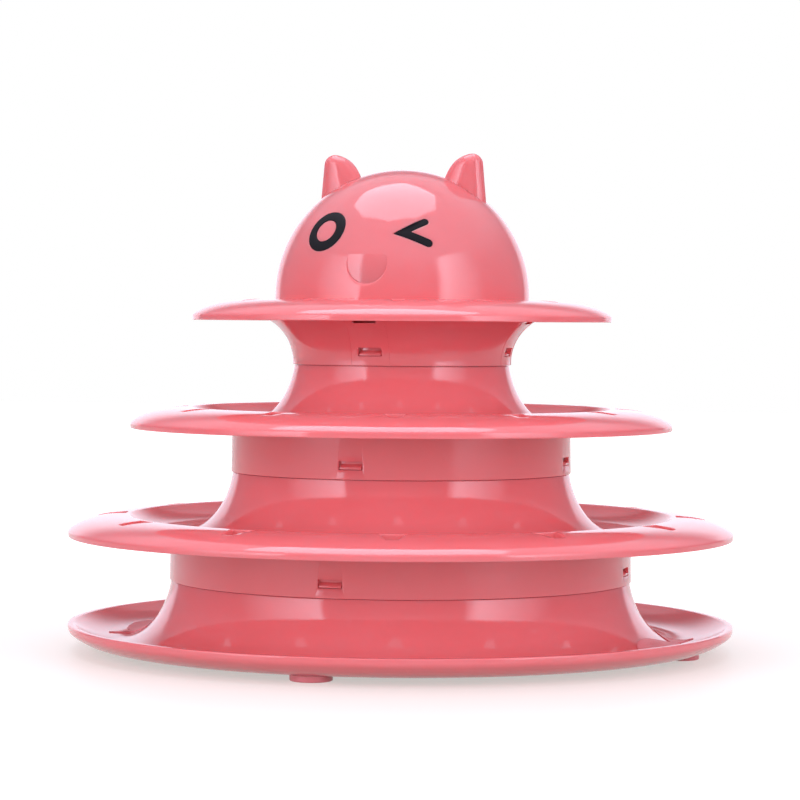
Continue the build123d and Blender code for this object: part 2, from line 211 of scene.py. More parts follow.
# Camera, and the studio as seen from the tower: softboxes by the azimuths and elevations that they fill
camera_azimuth = 16.5
camera_distance = 1.1
camera_height = 122.8 * MM
camera_yaw = 0.0315
camera_pitch = 1.5
camera_roll = 0.39
camera_lens = 130.9
camera_sensor = 36
studio_middle = 95 * MM
box_distance = 1.3
side_boxes = (("left_softbox", -38, -82, (-14, 31), 3), ("right_softbox", 34, 76, (-14, 35), 8))
side_gloss = 5.4
side_light = 4.2
side_edge = 0.1
side_colour = (0.88, 0.96, 1.1)
octabox_height = 0.9
octabox_gloss = 5.0
octabox_light = 2.6
octabox_colour = (1.0, 0.92, 1.06)
octabox_corners = (
    (-0.56, 0.30), (-0.37, 0.60), (0.01, 0.67), (0.33, 0.39),
    (0.39, 0.0), (0.18, -0.30), (-0.21, -0.37), (-0.53, -0.10),
)
white = (1, 1, 1)
floor_size = 3.0
floor_roughness = 0.5
# Table colour: a grey whose warm cast is painted bounce light from the pink tower, tinting the shade under
# the tray
floor_grey_and_painted_bounce = (0.5, 0.45, 0.44)
# Painted warm glow: near the tower the table's own glow takes this tint, standing in for pink light bounced
# from the plastic
floor_painted_warm_glow = (0.97, 0.97, 0.94)
floor_fade = (0.13, 0.36)
floor_glow = 0.52
wall_edge = (0.80, 0.86)
wall_top = (0.2, 0.42)
wall_glow = 1.35
room_colour = (0.97, 0.97, 1.1)
room_edge = (0.3, 0.7)
room_glow = (0.35, 1.1)
fill_edge = (0.0, 0.9)
fill_top = (0.25, 0.65)
fill_light = (0.5, 1.55)

# Mesh steps
turn_steps = 288
arc_steps = 20
dome_steps = 72
round_steps = 6
bevel_steps = 2
boss_steps = 48
ridge_steps = 40
face_steps = 96
smile_rings = 24
ear_steps = 72
ear_rings = 20
ear_halvings = 40
plaque_rings = 10
fish_steps = 80
merge_gap = 0.002 * MM
side_step = 0.6 * MM
sharp_angle = radians(32)
mouth_turn = radians(60)


# Outlines

class Outline:
    """Closed half section of a turned piece: (radius, height) points, and the corners to round."""

    def __init__(self):
        self.points = []
        self.rounds = {}

    def line(self, *points):
        self.points.extend(Vector(point) for point in points)

    def arc(self, centre, radii, start, turn, steps=arc_steps, begin=0):
        """Points along an ellipse from a start angle through a turn, in degrees; begin rounds the first."""
        if begin:
            self.rounds[len(self.points)] = begin
        for step in range(steps + 1):
            angle = radians(start + turn * step / steps)
            across = centre[0] + radii[0] * cos(angle)
            up = centre[1] + radii[1] * sin(angle)
            self.points.append(Vector((across, up)))

    def corner(self, point, reach):
        self.points.append(Vector(point))
        self.round(reach)

    def round(self, reach):
        """Round the corner at the point that was drawn last."""
        self.rounds[len(self.points) - 1] = reach

    def closed(self):
        return softened(self.points, self.rounds)


def softened(points, rounds):
    """A closed outline with a curve at each marked corner that reaches that far along both sides."""
    count = len(points)
    spans = [(points[(index + 1) % count] - points[index]).length for index in range(count)]
    places = [sum(spans[:index]) for index in range(count)]
    total = sum(spans)

    def at(place):
        place %= total
        index = max(number for number, start in enumerate(places) if start <= place)
        share = (place - places[index]) / spans[index] if spans[index] else 0
        return points[index].lerp(points[(index + 1) % count], share)

    def swallowed(index):
        for mark, reach in rounds.items():
            apart = abs((places[index] - places[mark] + total / 2) % total - total / 2)
            if mark != index and apart < reach:
                return True
        return False

    result = []
    for index, point in enumerate(points):
        if index in rounds:
            first = at(places[index] - rounds[index])
            last = at(places[index] + rounds[index])
            for step in range(round_steps + 1):
                share = step / round_steps
                result.append(first.lerp(point, share).lerp(point.lerp(last, share), share))
        elif not swallowed(index):
            result.append(point)
    return result


def grown(outline, offset):
    """A closed anticlockwise outline moved outwards by this much."""
    points = [Vector(point) for point in outline]
    result = []
    for before, point, after in zip(points[-1:] + points[:-1], points, points[1:] + points[:1]):
        one = (point - before).normalized()
        two = (after - point).normalized()
        normals = Vector((one.y, -one.x)) + Vector((two.y, -two.x))
        result.append(point + normals * offset / (1 + one.dot(two)))
    return result


def divided(points, longest):
    """A closed outline with its long sides divided, so that it can follow a curved face."""
    result = []
    for point, after in zip(points, points[1:] + points[:1]):
        count = max(1, ceil((after - point).length / longest))
        result.extend(point.lerp(after, step / count) for step in range(count))
    return result


def rounded_polygon(points, reach):
    corners = [Vector(point) for point in points]
    return divided(softened(corners, {index: reach for index in range(len(corners))}), side_step)


def turns(count):
    """Angles of this many even steps round a circle."""
    return [2 * pi * step / count for step in range(count)]


def arc_radius(run, rise):
    """Radius of the arc that leaves level and climbs by rise over run."""
    return (run * run + rise * rise) / (2 * rise)


# Meshes

def face_outwards(bm):
    """Turn the faces of every closed island outwards."""
    bmesh.ops.recalc_face_normals(bm, faces=bm.faces)
    waiting = set(bm.faces)
    while waiting:
        island = [waiting.pop()]
        volume = 0
        for face in island:
            corners = [corner.co for corner in face.verts]
            for one, two in zip(corners[1:], corners[2:]):
                volume += corners[0].dot(one.cross(two))
            for edge in face.edges:
                for other in edge.link_faces:
                    if other in waiting:
                        waiting.remove(other)
                        island.append(other)
        if volume < 0:
            bmesh.ops.reverse_faces(bm, faces=island)


def to_object(bm, name):
    face_outwards(bm)
    mesh = bpy.data.meshes.new(name)
    bm.to_mesh(mesh)
    bm.free()
    piece = bpy.data.objects.new(name, mesh)
    bpy.context.scene.collection.objects.link(piece)
    return piece


def turned(name, outline, middle=(0, 0, 0)):
    """A closed half section turned about an upright axis through the middle."""
    bm = bmesh.new()
    rings = []
    for angle in turns(turn_steps):
        ring = []
        for point in outline:
            place = Vector((point.x * cos(angle), point.x * sin(angle), point.y)) + Vector(middle)
            ring.append(bm.verts.new(place))
        rings.append(ring)
    count = len(outline)
    for ring, after in zip(rings, rings[1:] + rings[:1]):
        for index in range(count):
            following = (index + 1) % count
            bm.faces.new((ring[index], after[index], after[following], ring[following]))
    bmesh.ops.remove_doubles(bm, verts=bm.verts, dist=merge_gap)
    bmesh.ops.delete(bm, geom=[edge for edge in bm.edges if not edge.link_faces], context="EDGES")
    return to_object(bm, name)


def skin(bm, loops):
    """Quads between closed loops of as many points each."""
    faces = []
    for low, high in zip(loops, loops[1:]):
        for index in range(len(low)):
            following = (index + 1) % len(low)
            faces.append(bm.faces.new((low[index], low[following], high[following], high[index])))
    return faces


def closed_skin(bm, loops):
    """Quads between closed loops, and a face over each end."""
    faces = skin(bm, loops)
    faces.append(bm.faces.new(list(reversed(loops[0]))))
    faces.append(bm.faces.new(loops[-1]))
    return faces


def add_shaft(bm, outline, lift, rings):
    """Closed shaft through a surface: the outline grown by each ring's offset, at its height over it."""
    loops = []
    for offset, height in rings:
        loops.append([bm.verts.new(lift(u, v, height)) for u, v in grown(outline, offset)])
    closed_skin(bm, loops)


def add_prism(bm, points, places, axes, reach=0):
    """Prism over a (radius, height) polygon between two places across the radius, with softened edges."""
    out, side = axes
    loops = []
    for place in places:
        loops.append([bm.verts.new(out * r + side * place + Vector((0, 0, z))) for r, z in points])
    faces = closed_skin(bm, loops)
    bmesh.ops.recalc_face_normals(bm, faces=faces)
    if reach:
        edges = list(dict.fromkeys(edge for face in faces for edge in face.edges))
        bmesh.ops.bevel(
            bm, geom=edges, offset=reach, segments=bevel_steps, profile=0.5,
            affect="EDGES", clamp_overlap=True
        )


def combine(piece, tool, operation):
    """Cut a tool's mesh out of a piece, or join it on, and drop the tool."""
    modifier = piece.modifiers.new("combine", "BOOLEAN")
    modifier.operation = operation
    modifier.solver = "EXACT"
    modifier.object = tool
    graph = bpy.context.evaluated_depsgraph_get()
    mesh = bpy.data.meshes.new_from_object(piece.evaluated_get(graph))
    piece.modifiers.clear()
    spent = (piece.data, tool.data)
    piece.data = mesh
    bpy.data.objects.remove(tool)
    for leftover in spent:
        bpy.data.meshes.remove(leftover)


def cut(piece, bm):
    combine(piece, to_object(bm, "cutter"), "DIFFERENCE")


def join(piece, bm):
    combine(piece, to_object(bm, "joined"), "UNION")


# Shared places

def neck_radius(tier):
    return tray_neck - tier * tier_step


def floor_height(tier):
    return foot_height + wall + tier * tier_pitch


def crest_height(tier):
    return floor_height(tier) + track_depth


def seam_height(tier):
    """Lower edge of the collar that grips the hub of this tier."""
    return floor_height(tier + 1) - wall - collar_height


def facing(angle):
    """Outward and sideways directions at this angle; 0 is the cat's nose and 90 is +X."""
    turn = radians(angle)
    return Vector((sin(turn), -cos(turn), 0)), Vector((cos(turn), sin(turn), 0))


def foot_places():
    """Middle of each foot on the floor, by node name."""
    names = ("foot_front", "foot_right", "foot_back", "foot_left")
    return {name: facing(90 * index)[0] * (tray_neck + foot_reach) for index, name in enumerate(names)}


def clip_angles():
    return [index * 360 / clip_count for index in range(clip_count)]


def wall_lift(angle, radius_at):
    """Maps sideways, height and distance off the face to a place on a round upright wall."""
    out, side = facing(angle)

    def lift(u, v, height):
        reach = radius_at(v) + height
        return side * u + out * sqrt(reach * reach - u * u) + Vector((0, 0, v))

    return lift


def disc_lift(angle, inner, height_at):
    """Maps a radial and a sideways distance and a height to a place over a disc's upper face."""
    out, side = facing(angle)

    def lift(u, v, height):
        place = out * (inner + u) + side * v
        return Vector((place.x, place.y, height_at(place.length) + height))

    return lift


def mouth(reach):
    """Offsets and heights of a rounded mouth, from its wall to where it passes the face at a slant."""
    points = []
    for step in range(round_steps + 1):
        angle = mouth_turn * step / round_steps
        points.append((reach * (1 - cos(angle)), -reach * (1 - sin(angle))))
    offset, height = points[-1]
    points.append((offset + reach * sin(mouth_turn), height + reach * cos(mouth_turn)))
    return points


def rounded_rings(depth, reach):
    """Rings of a shaft that runs this deep under a face, with a rounded mouth."""
    rings = [(0, -depth)] + mouth(reach)
    return rings + [(rings[-1][0], overrun)]


# Half sections

def draw_hub(outline, neck, floor, seam, rim):
    """Outside of the neck, the shoulder under the collar and the flare down to the track floor."""
    middle = (neck + flare_run, floor + flare_rise)
    shoulder = seam - seam_gap
    turn = degrees(asin((middle[1] - shoulder) / flare_rise))
    outline.corner((neck, rim), seam_round)
    outline.line((neck, shoulder))
    outline.arc(middle, (flare_run - shoulder_width, flare_rise), 180 + turn, 90 - turn, begin=seam_round)


def draw_hub_inside(outline, neck, floor, rim):
    middle = (neck + flare_run, floor + flare_rise)
    outline.arc(middle, (flare_run + wall, flare_rise + wall), 270, -90)
    outline.corner((neck - wall, rim), seam_round)


def draw_bank(outline, start, height, run, rise):
    """Arc that leaves the floor level and climbs outwards."""
    radius = arc_radius(run, rise)
    outline.arc((start, height + radius), (radius, radius), 270, degrees(asin(run / radius)))


def draw_brim(outline, edge, crest):
    """Upper face, edge and underside of the brim, from the crest outwards and back."""
    start = edge + brim_flat
    run = brim_width - brim_flat
    wide, high = brim_radii()
    outline.arc((start, crest - high), (wide, high), 90, -degrees(asin(run / wide)))
    outline.round(edge_round)
    radius = arc_radius(run, brim_drop) - wall
    turn = degrees(asin(run / radius))
    outline.arc((start, crest - wall - radius), (radius, radius), 90 - turn, turn, begin=edge_round)


def brim_radii():
    """Half axes of the ellipse that leaves the crest level and reaches the brim's slope at its edge."""
    run = brim_width - brim_flat
    grade = brim_drop / run
    share = grade / (tan(radians(brim_slope)) - grade)
    return run / sqrt(1 - share * share), brim_drop / (1 - share)


def brim_height(edge, crest):
    """Height of the brim's upper face at a radius."""
    wide, high = brim_radii()

    def height_at(place):
        past = max(place - edge - brim_flat, 0)
        return crest - high + high * sqrt(1 - (past / wide) ** 2)

    return height_at


def tier_outline(tier, rim):
    neck = neck_radius(tier)
    floor = floor_height(tier)
    crest = crest_height(tier)
    under = floor - wall
    land_end = neck + flare_run + land_width
    crest_edge = neck + crest_reach
    bank_run = crest_edge - land_end
    bank_radius = arc_radius(bank_run, track_depth)
    collar_inside = neck_radius(tier - 1) + fit_gap
    collar_outside = collar_inside + collar_wall
    collar_low = under - collar_height
    outline = Outline()
    draw_hub(outline, neck, floor, seam_height(tier), rim)
    draw_bank(outline, land_end, floor, bank_run, track_depth)
    outline.round(crest_round)
    draw_brim(outline, crest_edge, crest)
    under_radius = bank_radius + wall
    under_run = sqrt(under_radius**2 - (bank_radius - track_depth + wall) ** 2)
    turn = degrees(asin(under_run / under_radius))
    outline.arc((land_end, floor + bank_radius), (under_radius, under_radius), 270 + turn, -turn)
    outline.corner((collar_outside - collar_draft, under), seam_round)
    outline.corner((collar_outside, collar_low), seam_round)
    outline.corner((collar_inside, collar_low), seam_round)
    outline.line((collar_inside, under))
    draw_hub_inside(outline, neck, floor, rim)
    return outline.closed()


def tray_outline():
    floor = floor_height(0)
    rim = floor_height(1) - wall
    land_end = tray_neck + flare_run + land_width
    lip_radius = tray_neck + crest_reach
    lip_top = crest_height(0)
    lip_low = lip_top - lip_band
    under = floor - wall
    outline = Outline()
    draw_hub(outline, tray_neck, floor, seam_height(0), rim)
    bank_start = tray_neck + flare_run
    draw_bank(outline, bank_start, floor, lip_radius - lip_width - bank_start, lip_top - floor)
    outline.round(lip_round)
    outline.corner((lip_radius, lip_top), lip_round)
    run = lip_radius - land_end
    radius = arc_radius(run, lip_low - under)
    turn = degrees(asin(run / radius))
    outline.arc((land_end, under + radius), (radius, radius), 270 + turn, -turn, begin=lip_under_round)
    draw_hub_inside(outline, tray_neck, floor, rim)
    return outline.closed()


# Clips

def hook_width():
    return window_width - 2 * hook_side_gap


def cut_slits(bm, inside, thickness, low, high):
    """Slits that free the tongue behind each hook."""
    place = hook_width() / 2 + slit_side_gap
    near = inside - overrun
    far = inside + thickness + overrun
    points = [(near, low), (far, low), (far, high), (near, high)]
    for angle in clip_angles():
        for places in ((-place - slit_width, -place), (place, place + slit_width)):
            add_prism(bm, points, places, facing(angle))


def cut_windows(bm, radius_at, depth, low, height):
    """Clip windows with softened mouths."""
    half = window_width / 2
    high = low + height
    outline = rounded_polygon([(-half, low), (half, low), (half, high), (-half, high)], window_round)
    for angle in clip_angles():
        add_shaft(bm, outline, wall_lift(angle, radius_at), rounded_rings(depth, cut_round / 2))


def add_hooks(piece, points):
    bm = bmesh.new()
    half = hook_width() / 2
    for angle in clip_angles():
        add_prism(bm, points, (-half, half), facing(angle), hook_round)
    join(piece, bm)


def neck_clips(piece, bm, tier, rim):
    """Cut a neck's tongues free and give them their hooks."""
    neck = neck_radius(tier)
    seam = seam_height(tier)
    cut_slits(bm, neck - wall, wall, seam + clip_gap, rim + overrun)
    cut(piece, bm)
    low = seam + window_sill + clip_gap
    high = low + hook_height
    front = neck + fit_gap + collar_wall - clip_gap
    root = neck - wall / 2
    add_hooks(piece, [(root, low), (front, low), (front, low + hook_land), (neck, high), (root, high)])


def cut_rim_slots(bm, tier, edge):
    """Tapered slots through the brim, just outside the crest."""
    length = slot_lengths[tier - 1]
    inner = edge + slot_margin
    half_in = slot_inner_widths[tier - 1] / 2
    half_out = slot_outer_widths[tier - 1] / 2
    corners = [(0, -half_in), (length, -half_out), (length, half_out), (0, half_in)]
    outline = rounded_polygon(corners, slot_round)
    rings = rounded_rings(brim_drop + wall, cut_round)
    height_at = brim_height(edge, crest_height(tier))
    for index in range(slot_count):
        angle = (index + 0.5) * 360 / slot_count
        add_shaft(bm, outline, disc_lift(angle, inner, height_at), rings)


# Tray and discs

def make_tray():
    piece = turned("tray_shell", tray_outline())
    neck_clips(piece, bmesh.new(), 0, floor_height(1) - wall)
    bm = bmesh.new()
    boss = wall * boss_wall_share
    for middle in foot_places().values():
        place = Matrix.Translation(middle + Vector((0, 0, foot_height + boss / 2)))
        bmesh.ops.create_cone(
            bm, cap_ends=True, segments=boss_steps, depth=boss, matrix=place,
            radius1=foot_radius, radius2=foot_radius
        )
    join(piece, bm)
    return piece


def make_tier(name, tier, rim):
    piece = turned(name, tier_outline(tier, rim))
    bm = bmesh.new()
    collar_inside = neck_radius(tier - 1) + fit_gap
    collar_low = seam_height(tier - 1)

    def collar_face(height):
        return collar_inside + collar_wall - collar_draft * (height - collar_low) / collar_height

    cut_windows(bm, collar_face, collar_wall + fit_gap, collar_low + window_sill, window_height)
    cut_rim_slots(bm, tier, neck_radius(tier) + crest_reach)
    neck_clips(piece, bm, tier, rim)
    return piece


top_crest = crest_height(3)
seat_height = top_crest - seat_drop
head_middle = seat_height + head_rise


def make_top():
    """Top disc: a collar that flares out under it, a ledge for the neck below and one for the head."""
    crest_edge = head_radius + crest_margin
    collar_low = seam_height(2)
    collar_inside = neck_radius(2) + fit_gap
    collar_outside = collar_inside + collar_wall
    flare_low = collar_low + flare_start
    flare_end = (head_radius + flare_margin, top_crest - flare_drop)
    flare_width = (flare_end[0] - collar_outside) / (1 - cos(radians(flare_bend)))
    flare_height = (flare_end[1] - flare_low) / sin(radians(flare_bend))
    flare_middle = (collar_outside + flare_width, flare_low)
    seat_under = seat_height - wall
    seat_radius = head_radius - head_wall
    stop_low = collar_low + neck_stop_height
    stop_high = stop_low + wall
    stop_radius = collar_inside - neck_stop_width

    def flare_turn(height, thickness):
        return asin((height - flare_low) / (flare_height + thickness))

    def flare_face(height, thickness=0):
        return flare_middle[0] - (flare_width + thickness) * cos(flare_turn(height, thickness))

    def outer_face(height):
        return flare_face(min(max(height, flare_low), flare_end[1]))

    inner_radii = (flare_width + collar_wall, flare_height + collar_wall)
    seat_turn = degrees(flare_turn(seat_under, collar_wall))
    stop_turn = degrees(flare_turn(stop_high, collar_wall))
    outline = Outline()
    outline.corner((seat_radius, seat_height), seam_round)
    outline.corner((seat_radius, seat_under), seam_round)
    outline.arc(flare_middle, inner_radii, 180 - seat_turn, seat_turn - stop_turn)
    outline.corner((stop_radius, stop_high), seam_round)
    outline.corner((stop_radius, stop_low), seam_round)
    outline.line((collar_inside, stop_low))
    outline.corner((collar_inside, collar_low), seam_round)
    outline.corner((collar_outside, collar_low), seam_round)
    outline.arc(flare_middle, (flare_width, flare_height), 180, -flare_bend)
    brim = Outline()
    draw_brim(brim, crest_edge, top_crest)
    brim_start = len(outline.points) + 1
    outline.line((crest_edge + crest_round, top_crest - wall))
    outline.points.extend(reversed(brim.points))
    for index, reach in brim.rounds.items():
        outline.rounds[brim_start + len(brim.points) - 1 - index] = reach
    outline.corner((crest_edge, top_crest), crest_round)
    run = crest_edge - seat_radius - seat_width
    radius = arc_radius(run, seat_drop)
    turn = degrees(asin(run / radius))
    outline.arc((seat_radius + seat_width, seat_height + radius), (radius, radius), 270 + turn, -turn)
    outline.points.pop(-arc_steps - 1)  # the crest's corner, drawn already
    piece = turned("top_disc", outline.closed())
    bm = bmesh.new()
    window_low = collar_low + window_sill
    cut_windows(bm, outer_face, collar_wall + fit_gap + 2 * overrun, window_low, window_height)
    head_window_low = seat_under - head_window_height
    depth = flare_end[0] - flare_face(head_window_low, collar_wall) + overrun
    cut_windows(bm, outer_face, depth, head_window_low, head_window_height)
    cut_rim_slots(bm, 3, crest_edge)
    cut(piece, bm)
    bm = bmesh.new()
    for angle in clip_angles():
        for place in (-ridge_place, ridge_place):
            add_ridge(bm, wall_lift(angle, outer_face), place, collar_low + seam_round, head_window_low)
    join(piece, bm)
    return piece


def add_ridge(bm, lift, place, low, high):
    """Fine raised line up a wall, where a slide of the mould met the rest of it."""
    root = -ridge_sink * ridge_height
    top = ridge_half / ridge_narrowing
    section = ((-ridge_half, root), (ridge_half, root), (top, ridge_height), (-top, ridge_height))
    loops = []
    for step in range(ridge_steps + 1):
        height = low + (high - low) * step / ridge_steps
        loops.append([bm.verts.new(lift(place + u, height, rise)) for u, rise in section])
    closed_skin(bm, loops)


# Head

def face_lift(azimuth, elevation):
    """Maps places in a plane that faces the dome here, and a height over the dome, to points."""
    out, side = facing(azimuth)
    level = radians(elevation)
    normal = out * cos(level) + Vector((0, 0, sin(level)))
    up = normal.cross(side)
    middle = Vector((0, 0, head_middle))

    def lift(u, v, height):
        reach = head_radius + height
        return middle + side * u + up * v + normal * sqrt(reach * reach - u * u - v * v)

    return lift


def wink_outline(margin):
    """Outline of two round-ended strokes whose outer sides run on to a point."""
    upper = (wink_upper_end - wink_tip).normalized()
    lower = (wink_lower_end - wink_tip).normalized()
    upper_half = wink_upper_stroke / 2 + margin
    lower_half = wink_lower_stroke / 2 + margin
    point = (lower * upper_half + upper * lower_half) / (lower.x * upper.y - lower.y * upper.x)
    points = [wink_tip - point]
    for end, along, half in ((wink_lower_end, lower, lower_half), (wink_upper_end, upper, upper_half)):
        across = Vector((-along.y, along.x))
        for step in range(arc_steps + 1):
            angle = pi * step / arc_steps - pi / 2
            points.append(end + (along * cos(angle) + across * sin(angle)) * half)
        if end is wink_lower_end:
            points.append(wink_tip + point)
    return divided(softened(points, {0: wink_round}), side_step)


def add_band(bm, lift, profile):
    """Closed ring over the dome with this (radius, height) profile."""
    loops = []
    for angle in turns(face_steps):
        loops.append([bm.verts.new(lift(r * cos(angle), r * sin(angle), h)) for r, h in profile])
    skin(bm, loops + loops[:1])


def band_profile(inner, outer, rings):
    """Profile of a ring on the dome whose two sides follow these offsets and heights."""
    points = [(outer + offset, height) for offset, height in rings]
    return points + [(inner - offset, height) for offset, height in reversed(rings)]


def plate_rings():
    """Rings of a raised plate from its underside over its rounded edge."""
    rings = [(0, inlay_proud - inlay_thickness)]
    for step in range(round_steps + 1):
        angle = pi / 2 * step / round_steps
        rings.append((-inlay_round * (1 - cos(angle)), inlay_proud - inlay_round * (1 - sin(angle))))
    return rings


def make_open_eye():
    bm = bmesh.new()
    outer = ring_diameter / 2
    profile = band_profile(outer - ring_stroke, outer, plate_rings())
    add_band(bm, face_lift(ring_azimuth, ring_elevation), profile)
    return to_object(bm, "open_eye")


def make_wink():
    bm = bmesh.new()
    add_shaft(bm, wink_outline(0), face_lift(wink_azimuth, wink_elevation), plate_rings())
    return to_object(bm, "wink_eye")


def cut_face(piece):
    """Pockets for the two inlays and the tipped half moon of the smile."""
    depth = inlay_thickness - inlay_proud + inlay_gap
    bm = bmesh.new()
    outer = ring_diameter / 2
    rings = rounded_rings(depth, pocket_round)
    profile = band_profile(outer - ring_stroke - inlay_gap, outer + inlay_gap, rings)
    add_band(bm, face_lift(ring_azimuth, ring_elevation), profile)
    add_shaft(bm, wink_outline(inlay_gap), face_lift(wink_azimuth, wink_elevation), rings)
    add_smile(bm)
    cut(piece, bm)


def add_smile(bm):
    """Cutter whose floor is the dome itself, tipped inwards below the smile's middle."""
    middle = asin(smile_height / head_radius)
    low = asin((smile_height - smile_radius) / head_radius)
    tip = smile_depth / sin(middle - low)
    angles = turns(face_steps)

    def dome(x, z):
        return sqrt(head_radius**2 - x * x - z * z)

    def sunk(reach, angle):
        """How deep the tipped floor lies under the dome."""
        x = reach * cos(angle)
        z = smile_height + reach * sin(angle)
        risen = z - tip * cos(middle)
        return dome(x, z) - dome(x, risen) + tip * sin(middle)

    def place(reach, angle, height):
        x = reach * cos(angle)
        z = smile_height + reach * sin(angle)
        return Vector((x, -dome(x, z) - height, head_middle + z))

    rings = []
    for number in range(1, smile_rings + 1):
        reach = smile_radius * number / smile_rings
        rings.append([bm.verts.new(place(reach, angle, -sunk(reach, angle))) for angle in angles])
    edge = mouth(1)
    edge.append((edge[-1][0], overrun / smile_round))
    for number, (offset, height) in enumerate(edge):
        ring = []
        for angle in angles:
            depth = sunk(smile_radius, angle)
            reach = max(smile_round * depth / smile_depth, merge_gap)
            over = height * depth * smile_lip_share if height < 0 else height * smile_round
            over = max(over, -depth + (number + 1) * merge_gap)
            ring.append(bm.verts.new(place(smile_radius + offset * reach, angle, over)))
        rings.append(ring)
    closed_skin(bm, rings)


def add_ear(bm, sign, inset, base_radius):
    """Closed ear, this far inside its surface, from a sphere of the base radius to its rounded tip."""
    outer_foot = sqrt(head_radius**2 - ear_outer_place**2)
    inner_foot = sqrt(head_radius**2 - ear_inner_place**2)
    tip_height = sqrt(head_radius**2 - ear_tip_place**2) + ear_height
    outer_lean = (ear_outer_place - ear_tip_place - ear_tip_radius) / (tip_height - outer_foot)
    inner_lean = (ear_tip_place - ear_tip_radius - ear_inner_place) / (tip_height - inner_foot)
    deep_lean = (ear_thickness / 2 - ear_tip_radius) / (tip_height - outer_foot + ear_sink)
    tip_round = min(ear_tip_round, ear_tip_radius - inset)

    def place(angle, fall, shrink):
        """Point on the ear's side this far below the tip, drawn in by the shrink."""
        outer = ear_tip_place + ear_tip_radius + outer_lean * fall
        swell = ear_bulge * sin(pi * min(fall / (tip_height - inner_foot), 1))
        inner = ear_tip_place - ear_tip_radius - inner_lean * fall - swell
        half = (outer - inner) / 2 - inset - shrink
        deep = ear_tip_radius + deep_lean * fall - inset - shrink
        x = (outer + inner) / 2 + half * cos(angle)
        return Vector((x, deep * sin(angle), tip_height - fall))

    def foot_fall(angle):
        """How far below the tip this side meets the sphere of the base radius."""
        near = 0
        far = tip_height - outer_foot + ear_sink
        for _ in range(ear_halvings):
            half_way = (near + far) / 2
            if place(angle, half_way, 0).length > base_radius:
                near = half_way
            else:
                far = half_way
        return far

    loops = []
    angles = turns(ear_steps)
    sides = [(angle, foot_fall(angle)) for angle in angles]
    top = inset + tip_round
    for number in range(ear_rings + 1):
        loops.append([place(angle, fall + (top - fall) * number / ear_rings, 0) for angle, fall in sides])
    tip_rings = 2 * round_steps
    for number in range(1, tip_rings + 1):
        turn = pi / 2 * number / (tip_rings + 0.5)  # the last ring leaves a small cap
        drop = inset + tip_round * (1 - sin(turn))
        loops.append([place(angle, drop, tip_round * (1 - cos(turn))) for angle in angles])
    made = []
    for loop in loops:
        made.append([bm.verts.new((sign * p.x, p.y, p.z + head_middle)) for p in loop])
    closed_skin(bm, made)


def make_head():
    """Hollow dome with two hollow ears, the face, and the skirt with its tongues and hooks."""
    dome_inside = head_radius - head_wall
    skirt_outside = dome_inside - skirt_gap
    skirt_inside = skirt_outside - skirt_wall
    skirt_turn = seat_height - skirt_straight
    skirt_low = seat_height - skirt_depth
    outline = Outline()
    outline.corner((head_radius, seat_height), seam_round)
    outline.arc((0, head_middle), (head_radius, head_radius), 0, 90, dome_steps)
    outline.arc((0, head_middle), (dome_inside, dome_inside), 90, -90, dome_steps)
    outline.line((skirt_inside, head_middle - dome_inside + skirt_inside))
    outline.line((skirt_inside, skirt_turn), (skirt_inside - skirt_taper, skirt_low))
    outline.line((skirt_outside - skirt_taper, skirt_low), (skirt_outside, skirt_turn))
    outline.line((skirt_outside, seat_height))
    piece = turned("head_dome", outline.closed())
    bm = bmesh.new()
    for sign in (-1, 1):
        add_ear(bm, sign, 0, head_radius - head_wall / 2)
    join(piece, bm)
    bm = bmesh.new()
    for sign in (-1, 1):
        add_ear(bm, sign, head_wall, dome_inside - overrun)
    skirt_foot = skirt_inside - skirt_taper
    cut_slits(bm, skirt_foot, skirt_wall + skirt_taper, skirt_low - overrun, seat_height - skirt_gap)
    cut(piece, bm)
    cut_face(piece)
    high = seat_height - wall - clip_gap
    low = high - head_hook_height
    front = skirt_outside + head_hook_reach
    root = skirt_inside + skirt_wall / 2
    lean = skirt_taper / 2
    points = [(root, high), (front, high), (front, high - hook_land)]
    add_hooks(piece, points + [(skirt_outside - lean, low), (root - lean, low)])
    return piece


# Relief, feet and balls

def track_height(place):
    """Height of the tray's upper face at a radius from its flare to its lip."""
    past = tray_neck + flare_run - place
    if past > 0:
        return floor_height(0) + flare_rise * (1 - sqrt(1 - (past / (flare_run - shoulder_width)) ** 2))
    radius = arc_radius(crest_reach - lip_width - flare_run, track_depth)
    return floor_height(0) + radius - sqrt(radius * radius - past * past)


def add_plaque(bm, outline, middle, turn):
    """Low raised plate on the tray's track, from an outline along and across the track about its middle."""
    centre = Vector(middle)
    rings = [(share, rise * fish_height) for share, rise in plaque_edge]
    rings += [(1 - step / (plaque_rings + 1), fish_height) for step in range(1, plaque_rings + 1)]
    loops = []
    for share, rise in rings:
        loop = []
        for point in outline:
            u, v = centre + (point - centre) * share
            reach = fish_reach + v
            angle = turn + u / fish_reach
            loop.append(bm.verts.new((reach * sin(angle), -reach * cos(angle), track_height(reach) + rise)))
        loops.append(loop)
    closed_skin(bm, loops)


def make_fish(name, azimuth):
    """Plain fish in low relief: a body and a forked tail."""
    bm = bmesh.new()
    half_body = fish_length * fish_body_share / 2
    nose = Vector((half_body - fish_length / 2, 0))
    body = []
    for angle in turns(fish_steps):
        across = fish_width / 2 * sin(angle) * (1 - fish_taper * cos(angle))
        body.append(nose + Vector((half_body * cos(angle), across)))
    add_plaque(bm, body, nose, radians(azimuth))
    end = fish_length / 2
    root = nose.x + half_body - overrun
    fork = root + (end - root) * fish_fork_share
    tips = [(root, -overrun), (end, -fish_width / 2), (fork, 0), (end, fish_width / 2), (root, overrun)]
    tail = rounded_polygon(tips, overrun / 2)
    add_plaque(bm, tail, ((root + fork) / 2, 0), radians(azimuth))
    return to_object(bm, name)


